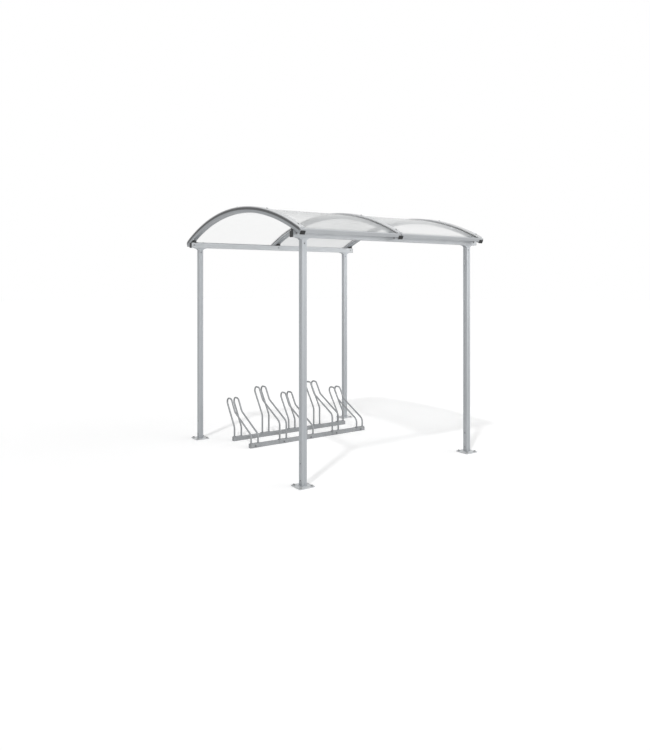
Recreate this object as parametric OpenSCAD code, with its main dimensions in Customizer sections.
// Open bicycle shelter with a barrel roof on four posts, and a rack for five wheels under it.
// Origin: on the ground, at the middle of the plan. X runs along the barrel, Y to the back, Z up.

/* [Plan] */
// Distance between post centres along the side rails
post_span_x = 1960; // [1700:10:2300]
// Distance between post centres from front to back
post_span_y = 2060; // [1800:10:2300]
// Clear height under the side rails
rail_under_z = 2077; // [1900:1:2300]

/* [Posts] */
// Width of the square posts
post_w = 50; // [44:1:60]
// Wall of the posts
post_wall = 3; // [2.5:0.5:4]
// Radius on the corners of posts, rails and ribs
corner_r = 3; // [1:0.5:5]
// Width of the shallow groove along each face
groove_w = 9; // [4:0.5:14]
// Depth of the shallow groove
groove_d = 1.2; // [0.5:0.1:1.5]

/* [Feet] */
// Width of the square foot plates
plate_w = 150; // [130:1:180]
// Thickness of the foot plates
plate_t = 8; // [6:1:12]
// Radius on the corners of the foot plates
plate_r = 6; // [2:1:12]
// Distance between the anchor holes
anchor_pitch = 110; // [96:1:116]
// Diameter of the anchor holes
anchor_d = 12; // [8:0.5:14]
// Height of the spigot inside each post, above its plate
spigot_h = 150; // [80:5:220]
// Wall of the spigots
spigot_wall = 4; // [3:0.5:6]

/* [Post heads] */
// Thickness of the plate between post and rail
head_t = 6; // [4:1:10]
// Reach of each flare along the rail
flare_l = 40; // [20:1:70]
// Height of the flares
flare_h = 23; // [16:1:40]
// Thickness of a flare at its tip
flare_tip = 3.5; // [2:0.5:9]
// Length of the head spigot inside the post
head_spigot_h = 62; // [40:1:90]

/* [Side rails] */
// Width of the side rails
rail_w = 50; // [44:1:60]
// Height of the side rails
rail_h = 55; // [45:1:70]
// Wall of the side rails
rail_wall = 3; // [2.5:0.5:4]
// Length of the rails beyond the post centres
rail_over = 111; // [108:1:160]

/* [Ribs] */
// Distance of the outer ribs beyond the post centres
rib_over = 78; // [60:1:82]
// Width of the ribs
rib_w = 50; // [40:1:54]
// Depth of the ribs
rib_h = 26; // [20:1:40]
// Wall of the ribs
rib_wall = 2.5; // [2:0.5:3.5]
// Radius of the underside of the ribs
rib_r = 2550; // [2300:1:2800]
// Reach of the roof beyond the rails' outer faces
roof_over = 109; // [90:1:180]
// Thinnest edge of the wedges between rail and rib
wedge_min = 1.5; // [1:0.5:4]

/* [Glazing] */
// Thickness of the clear sheets
sheet_t = 10; // [6:1:16]
// Height of the gaskets that carry the sheets on the ribs
seat_t = 8; // [6:0.5:10]
// Thickness of the gaskets under the cover strips
seal_t = 3; // [2:0.5:5]
// Width of each gasket
gasket_w = 9; // [5:0.5:12]
// Gap between the two sheets over the middle rib
sheet_gap = 10; // [4:1:20]
// Distance of the sheets' outer edges from the ribs' outer faces
sheet_inset = 3; // [1:1:8]
// Height of the cover strips
cover_h = 12; // [8:1:16]
// Height of the bevels on the cover strips
cover_bevel = 5; // [2:1:6]
// Depth of the screw groove in the cover strips
cover_groove_d = 3; // [1:0.5:4]
// Width of the screw groove in the cover strips
cover_groove_w = 14; // [10:1:18]

/* [Eaves] */
// Depth of the slot that holds a sheet's lower edge
eave_slot = 22; // [12:1:30]
// Wall of the eave channels
eave_wall = 2.5; // [2:0.5:4]
// Height of the skirt that hangs from the eave channels between the ribs
eave_skirt = 8; // [4:1:14]

/* [Caps] */
// Thickness of the plastic end caps
cap_t = 3; // [2:0.5:5]
// Depth of the caps' plugs inside the tubes
cap_plug = 18; // [10:1:30]
// Wall of the caps' plugs
cap_wall = 2; // [1.5:0.5:3]

/* [Rack rails] */
// Length of the rack's rails beyond the outer saddles
rack_over = 2; // [1:1:60]
// Width of the rack's square rails
rack_w = 40; // [32:1:50]
// Wall of the rack's rails
rack_wall = 3; // [2:0.5:4]
// Place of the front rail, from the middle of the shelter
rack_front_y = 342; // [200:1:350]
// Place of the rear rail, from the middle of the shelter
rack_rear_y = 714; // [700:1:740]

/* [Wheel holders] */
// Distance between wheel holders
holder_pitch = 342; // [300:1:350]
// Diameter of the bars
bar_d = 18; // [14:1:20]
// Clear width between the two bars of a holder
wheel_slot = 64; // [45:1:70]
// Extra height of the second and fourth holder
lift = 94; // [60:1:120]
// Height of the bend in the front leg
front_bend_z = 131; // [110:1:150]
// Height of the bend in the rear leg
rear_bend_z = 145; // [120:1:170]
// Height of the shoulder behind the wheel
shoulder_z = 384; // [370:1:390]
// Height of the tip, to the middle of the bar
tip_z = 438; // [434:1:480]
// Reach of the shoulder behind the rear rail
shoulder_reach = 170; // [120:1:200]
// Depth of the tip from front to back
tip_l = 97; // [90:1:120]
// Place of the kink in the long front slope, forward of the tip's front corner
kink_l = 85; // [60:1:110]
// Height of that kink
kink_z = 310; // [290:1:330]
// Bend radius at the tip
tip_r = 40; // [30:1:42]
// Bend radius at the shoulder
shoulder_r = 24; // [20:1:28]
// Bend radius of the other bends
bend_r = 60; // [45:1:70]
// Thickness of the saddle plates
saddle_t = 4; // [3:1:6]
// Width of the saddle plates beyond the bars
saddle_over = 4; // [3:1:20]

/* [Hidden] */
// Gap left between curved or sliding fits
fit = 0.3;
// Gap left between curved surfaces that lie on each other
lay = 0.2;
FINE = 96;
ROUND = 48;

SIDES = [-1, 1];
post_x = post_span_x / 2;
post_y = post_span_y / 2;
rail_top = rail_under_z + rail_h;
post_top = rail_under_z - head_t;
rail_len = post_span_x + 2 * rail_over;
rail_edge = post_y + rail_w / 2;
rib_pitch = post_x + rib_over;

// The ribs' centre lies where their underside clears the rails' outer edge by the thinnest wedge
vault_z = rail_top + wedge_min - sqrt(rib_r * rib_r - rail_edge * rail_edge);
// Height of the wedges' upper face, just under the ribs, at a distance y from the middle
function under_rib(y) = vault_z + sqrt(pow(rib_r - lay, 2) - y * y);
rib_top = rib_r + rib_h;
sheet_low = rib_top + seat_t;
sheet_top = sheet_low + sheet_t;
cover_low = sheet_top + seal_t;
cover_top = cover_low + cover_h;
// Half the angle that the roof spans
vault_a = asin((rail_edge + roof_over) / cover_top);
sheet_mid = sheet_low + sheet_t / 2;
// The sheets end just short of the bottom of the eave slots
sheet_play = 2;
sheet_a = vault_a - (sheet_play + eave_wall) / sheet_mid * 180 / PI;
// Gaskets and cover strips stop just short of the eave channels
cover_play = 1;
cover_a = vault_a - (eave_slot + eave_wall + cover_play) / sheet_mid * 180 / PI;
// Lower edge of the eave channels' face, on the ribs' tops, from the middle of the sheet
eave_low = lay - sheet_t / 2 - seat_t;
// Distance of the gaskets from the ribs' side faces
gasket_edge = 2;
gasket_x = rib_w / 2 - gasket_w / 2 - gasket_edge;

// Bends of the bars: how far a straight reaches over a bend, and how much the bar thins there
bend_lap = 1;
bend_thin = 0.12;

// Wheel holders
bar_x = (wheel_slot + bar_d) / 2;
rack_top = rack_w;
saddle_w = 2 * bar_x + bar_d + 2 * saddle_over;
rack_len = 4 * holder_pitch + saddle_w + 2 * rack_over;
foot_z = rack_top + saddle_t;
shoulder_y = rack_rear_y + shoulder_reach;
tip_y = shoulder_y - tip_l;
kink_y = tip_y - kink_l;

METAL = [0.70, 0.72, 0.74];
STRIP = [0.64, 0.66, 0.68];
BLACK = [0.16, 0.16, 0.17];
CLEAR = [0.93, 0.95, 0.97, 0.5];
RACK = [0.62, 0.63, 0.64];

// Rectangle with round corners, centred
module round_rect(w, h, r) {
    square([w - 2 * r, h], center = true);
    square([w, h - 2 * r], center = true);
    for (x = SIDES, y = SIDES)
        translate([x * (w / 2 - r), y * (h / 2 - r)]) circle(r = r, $fn = ROUND);
}

// Outline of an extruded bar with a shallow groove in the middle of each face
module grooved_rect(w, h) {
    difference() {
        round_rect(w, h, corner_r);
        for (s = SIDES) {
            translate([s * w / 2, 0]) square([2 * groove_d, groove_w], center = true);
            translate([0, s * h / 2]) square([groove_w, 2 * groove_d], center = true);
        }
    }
}

// Outline of the grooved hollow section
module grooved_tube(w, h, wall) {
    difference() {
        grooved_rect(w, h);
        square([w - 2 * wall, h - 2 * wall], center = true);
    }
}

// Outline of a plain square or flat tube
module plain_tube(w, h, wall) {
    difference() {
        square([w, h], center = true);
        square([w - 2 * wall, h - 2 * wall], center = true);
    }
}

// Turns an outline drawn in Y and Z into a bar along X, centred
module along_x(length) {
    rotate([90, 0, 90]) translate([0, 0, -length / 2]) linear_extrude(length) children();
}

// Sweeps an outline, drawn as X against radius, round the vault's axis through twice the half angle
module along_vault(half_a) {
    translate([0, 0, vault_z])
        rotate([0, -90, 0]) rotate([0, 0, -half_a])
            rotate_extrude(angle = 2 * half_a, $fn = 4 * FINE) rotate(-90) children();
}

// Puts a child at the vault's radius r and end angle a, with its X axis along X, Y outwards and down
module at_vault_end(side, r, a) {
    mirror([0, side < 0 ? 1 : 0, 0])
        translate([0, 0, vault_z]) rotate([-a, 0, 0]) translate([0, 0, r]) children();
}

module post(sx, sy) {
    color(METAL)
        translate([sx * post_x, sy * post_y, plate_t])
            linear_extrude(post_top - plate_t) grooved_tube(post_w, post_w, post_wall);
}

// Foot plate with four anchor holes and the spigot that the post slides over
module foot(sx, sy) {
    spigot_w = post_w - 2 * post_wall - 2 * fit;
    color(METAL)
        translate([sx * post_x, sy * post_y, 0]) {
            linear_extrude(plate_t)
                difference() {
                    round_rect(plate_w, plate_w, plate_r);
                    for (x = SIDES, y = SIDES)
                        translate([x, y] * anchor_pitch / 2) circle(d = anchor_d, $fn = ROUND);
                }
            translate([0, 0, plate_t]) linear_extrude(spigot_h) plain_tube(spigot_w, spigot_w, spigot_wall);
        }
}

// Half of the flared head seen from the front, from the post's face out along the rail
module flare_outline() {
    rise = flare_h - flare_tip;
    hollow_r = (flare_l * flare_l + rise * rise) / (2 * rise);
    difference() {
        translate([0, -flare_h]) square([flare_l, flare_h]);
        translate([flare_l, -flare_tip - hollow_r]) circle(r = hollow_r, $fn = FINE);
    }
}

// Plate under the rail with a flare on each side of the post and a spigot down inside it
module head(sx, sy) {
    spigot_w = post_w - 2 * post_wall - 2 * fit;
    flare_w = post_w - 2 * corner_r;
    color(METAL)
        translate([sx * post_x, sy * post_y, rail_under_z]) {
            for (s = SIDES)
                mirror([s < 0 ? 1 : 0, 0, 0])
                    translate([post_w / 2, flare_w / 2, 0])
                        rotate([90, 0, 0]) linear_extrude(flare_w) flare_outline();
            translate([-post_w / 2, -flare_w / 2, -head_t]) cube([post_w, flare_w, head_t]);
            translate([0, 0, -head_t - head_spigot_h])
                linear_extrude(head_spigot_h) plain_tube(spigot_w, spigot_w, spigot_wall);
        }
}

module rail(sy) {
    color(METAL)
        translate([0, sy * post_y, rail_under_z + rail_h / 2])
            along_x(rail_len) grooved_tube(rail_w, rail_h, rail_wall);
}

// Cap that closes the end of a tube: a plate that covers it, taller by rise, and a hollow plug, along +X
module end_cap(w, h, wall, rise = 0) {
    plug_w = w - 2 * wall - 2 * fit;
    plug_h = h - 2 * wall - 2 * fit;
    translate([cap_t / 2, 0, rise / 2]) along_x(cap_t) round_rect(w, h + rise, corner_r);
    translate([-cap_plug / 2, 0, 0]) along_x(cap_plug) plain_tube(plug_w, plug_h, cap_wall);
}

module rail_caps(sy) {
    color(BLACK)
        for (s = SIDES)
            mirror([s < 0 ? 1 : 0, 0, 0])
                translate([rail_len / 2, sy * post_y, rail_under_z + rail_h / 2])
                    end_cap(rail_w, rail_h, rail_wall);
}

module rib(k) {
    color(METAL)
        translate([k * rib_pitch, 0, 0])
            along_vault(vault_a) translate([0, rib_r + rib_h / 2]) grooved_tube(rib_w, rib_h, rib_wall);
}

// The two caps on the lower ends of a rib, which also cover the ends of its gaskets
module rib_caps(k) {
    color(BLACK)
        for (side = SIDES)
            translate([k * rib_pitch, 0, 0])
                at_vault_end(side, rib_r + rib_h / 2, vault_a)
                    rotate(90) end_cap(rib_w, rib_h, rib_wall, seat_t);
}

// Wedges that fill the space between the flat rails and the underside of a rib
module wedges(k) {
    inner = post_y - rail_w / 2;
    color(BLACK)
        for (side = SIDES)
            mirror([0, side < 0 ? 1 : 0, 0])
                translate([k * rib_pitch, 0, 0])
                    along_x(rib_w - 2 * corner_r)
                        polygon([
                            [inner, rail_top], [rail_edge, rail_top],
                            [rail_edge, under_rib(rail_edge)], [inner, under_rib(inner)]
                        ]);
}

// Two strips under the sheets and two over them, on one rib
module gaskets(k) {
    color(BLACK)
        translate([k * rib_pitch, 0, 0])
            along_vault(cover_a)
                for (x = SIDES, seat = [[rib_top, seat_t], [sheet_top, seal_t]])
                    translate([x * gasket_x - gasket_w / 2, seat[0] + lay])
                        square([gasket_w, seat[1] - 2 * lay]);
}

// Bevelled cap of extruded metal that clamps the sheets on a rib, with a groove for its screws
module cover_strip(k) {
    half = rib_w / 2;
    color(STRIP)
        translate([k * rib_pitch, 0, 0])
            along_vault(cover_a)
                translate([0, cover_low])
                    difference() {
                        polygon([
                            [-half, 0], [half, 0], [half, cover_h - cover_bevel], [half - cover_bevel, cover_h],
                            [cover_bevel - half, cover_h], [-half, cover_h - cover_bevel]
                        ]);
                        translate([-cover_groove_w / 2, cover_h - cover_groove_d])
                            square([cover_groove_w, 2 * cover_groove_d]);
                    }
}

// One curved sheet, from the middle rib out to the outer rib
module roof_sheet(side) {
    inner = sheet_gap / 2;
    outer = rib_pitch + rib_w / 2 - sheet_inset;
    color(CLEAR)
        mirror([side < 0 ? 1 : 0, 0, 0])
            along_vault(sheet_a) translate([inner, sheet_low]) square([outer - inner, sheet_t]);
}

// Outline of an eave channel, with Y outwards along the roof and Z square to the sheet.
// Its face rises from the top of the ribs to the upper leg.
module eave_outline() {
    gap = sheet_t + 2 * fit;
    translate([-eave_wall, eave_low]) square([eave_wall, gap / 2 + eave_wall - eave_low]);
    for (z = [-gap / 2 - eave_wall, gap / 2])
        translate([-eave_wall - eave_slot, z]) square([eave_slot + eave_wall, eave_wall]);
}

// Channel along the lower edge of one sheet, over the ribs' ends, with a skirt down between two ribs
module eave(bay, side) {
    inner = sheet_gap / 2;
    outer = rib_pitch + rib_w / 2;
    color(METAL)
        at_vault_end(side, sheet_mid, vault_a)
            mirror([bay < 0 ? 1 : 0, 0, 0]) {
                translate([(inner + outer) / 2, 0, 0]) along_x(outer - inner) eave_outline();
                translate([rib_pitch / 2, 0, 0])
                    along_x(rib_pitch - rib_w)
                        translate([-eave_wall, eave_low - eave_skirt]) square([eave_wall, eave_skirt + eave_wall]);
            }
}

module rack_rail(y) {
    color(RACK)
        translate([0, y, rack_w / 2]) along_x(rack_len) plain_tube(rack_w, rack_w, rack_wall);
}

// End plates of the rack's rails, each with a plug inside the rail
module rack_caps() {
    plug = rack_w - 2 * rack_wall - 2 * fit;
    color(RACK)
        for (y = [rack_front_y, rack_rear_y], s = SIDES)
            mirror([s < 0 ? 1 : 0, 0, 0])
                translate([rack_len / 2, y, rack_w / 2]) {
                    translate([cap_t / 2, 0, 0]) along_x(cap_t) square(rack_w, center = true);
                    translate([-cap_plug / 2, 0, 0]) along_x(cap_plug) plain_tube(plug, plug, cap_wall);
                }
}

// Turn from direction a to direction b, in degrees, positive to the left
function turn(a, b) = atan2(a[0] * b[1] - a[1] * b[0], a[0] * b[0] + a[1] * b[1]);
// Length that a bend of radius r takes from each of the two straights that meet at its corner
function bend_cut(a, b, r) = r * tan(abs(turn(a, b)) / 2);

// One round bar bent in the plane of X and Y: corners are the points, radii the bend at each corner.
// The bar thins a little where it is bent, and each straight reaches a short way over its bends.
module bent_bar(points, radii, d) {
    last = len(points) - 1;
    dirs = [for (i = [0:last - 1]) (points[i + 1] - points[i]) / norm(points[i + 1] - points[i])];
    cuts = [for (i = [0:last]) i == 0 || i == last ? 0 : bend_cut(dirs[i - 1], dirs[i], radii[i])];
    for (i = [0:last - 1]) {
        lap_in = i == 0 ? 0 : bend_lap;
        lap_out = i == last - 1 ? 0 : bend_lap;
        start = points[i] + dirs[i] * (cuts[i] - lap_in);
        length = norm(points[i + 1] - points[i]) - cuts[i] - cuts[i + 1] + lap_in + lap_out;
        translate([start[0], start[1], 0])
            rotate([0, 90, atan2(dirs[i][1], dirs[i][0])]) cylinder(h = length, d = d, $fn = ROUND);
    }
    for (i = [1:last - 1]) {
        angle = turn(dirs[i - 1], dirs[i]);
        side = sign(angle);
        start = points[i] - dirs[i - 1] * cuts[i];
        heading = atan2(dirs[i - 1][1], dirs[i - 1][0]);
        translate([start[0], start[1], 0])
            rotate(heading) translate([0, side * radii[i], 0])
                rotate(side > 0 ? -90 : 90 + angle)
                    rotate_extrude(angle = abs(angle), $fn = 2 * FINE)
                        translate([radii[i], 0]) circle(d = d - bend_thin, $fn = ROUND);
    }
}

// The bent bar's corners in Y and Z, from the rear foot over the tip to the front foot
function holder_path(up) = [
    [rack_rear_y, foot_z], [rack_rear_y, rear_bend_z + up], [shoulder_y, shoulder_z + up],
    [shoulder_y, tip_z + up], [tip_y, tip_z + up], [kink_y, kink_z + up],
    [rack_front_y, front_bend_z + up], [rack_front_y, foot_z]
];
HOLDER_RADII = [0, bend_r, shoulder_r, tip_r, tip_r, bend_r, bend_r, 0];

// Plate that sits over a rack rail and carries the feet of both bars, with a lip down the rail's face
module saddle(y, face) {
    translate([-saddle_w / 2, y - rack_w / 2, rack_top]) cube([saddle_w, rack_w, saddle_t]);
    translate([-saddle_w / 2, y + face * (rack_w / 2 + saddle_t / 2) - saddle_t / 2, saddle_t])
        cube([saddle_w, saddle_t, rack_top]);
}

// Two bent bars with the wheel's slot between them, on a saddle at each rail
module wheel_holder(n) {
    up = n % 2 == 0 ? lift : 0;
    color(RACK)
        translate([(n - 3) * holder_pitch, 0, 0]) {
            for (s = SIDES)
                translate([s * bar_x, 0, 0]) rotate([90, 0, 90]) bent_bar(holder_path(up), HOLDER_RADII, bar_d);
            saddle(rack_front_y, -1);
            saddle(rack_rear_y, 1);
        }
}

post(-1, -1);  // post_front_left
post(1, -1);  // post_front_right
post(-1, 1);  // post_rear_left
post(1, 1);  // post_rear_right
foot(-1, -1);  // foot_front_left
foot(1, -1);  // foot_front_right
foot(-1, 1);  // foot_rear_left
foot(1, 1);  // foot_rear_right
head(-1, -1);  // head_front_left
head(1, -1);  // head_front_right
head(-1, 1);  // head_rear_left
head(1, 1);  // head_rear_right
rail(-1);  // rail_front
rail(1);  // rail_rear
rail_caps(-1);  // rail_caps_front
rail_caps(1);  // rail_caps_rear
rib(-1);  // rib_left
rib(0);  // rib_middle
rib(1);  // rib_right
rib_caps(-1);  // rib_caps_left
rib_caps(0);  // rib_caps_middle
rib_caps(1);  // rib_caps_right
wedges(-1);  // wedges_left
wedges(0);  // wedges_middle
wedges(1);  // wedges_right
gaskets(-1);  // gaskets_left
gaskets(0);  // gaskets_middle
gaskets(1);  // gaskets_right
cover_strip(-1);  // cover_strip_left
cover_strip(0);  // cover_strip_middle
cover_strip(1);  // cover_strip_right
roof_sheet(-1);  // roof_sheet_left
roof_sheet(1);  // roof_sheet_right
eave(-1, -1);  // eave_front_left
eave(1, -1);  // eave_front_right
eave(-1, 1);  // eave_rear_left
eave(1, 1);  // eave_rear_right
rack_rail(rack_front_y);  // rack_rail_front
rack_rail(rack_rear_y);  // rack_rail_rear
rack_caps();
wheel_holder(1);  // wheel_holder_1
wheel_holder(2);  // wheel_holder_2
wheel_holder(3);  // wheel_holder_3
wheel_holder(4);  // wheel_holder_4
wheel_holder(5);  // wheel_holder_5
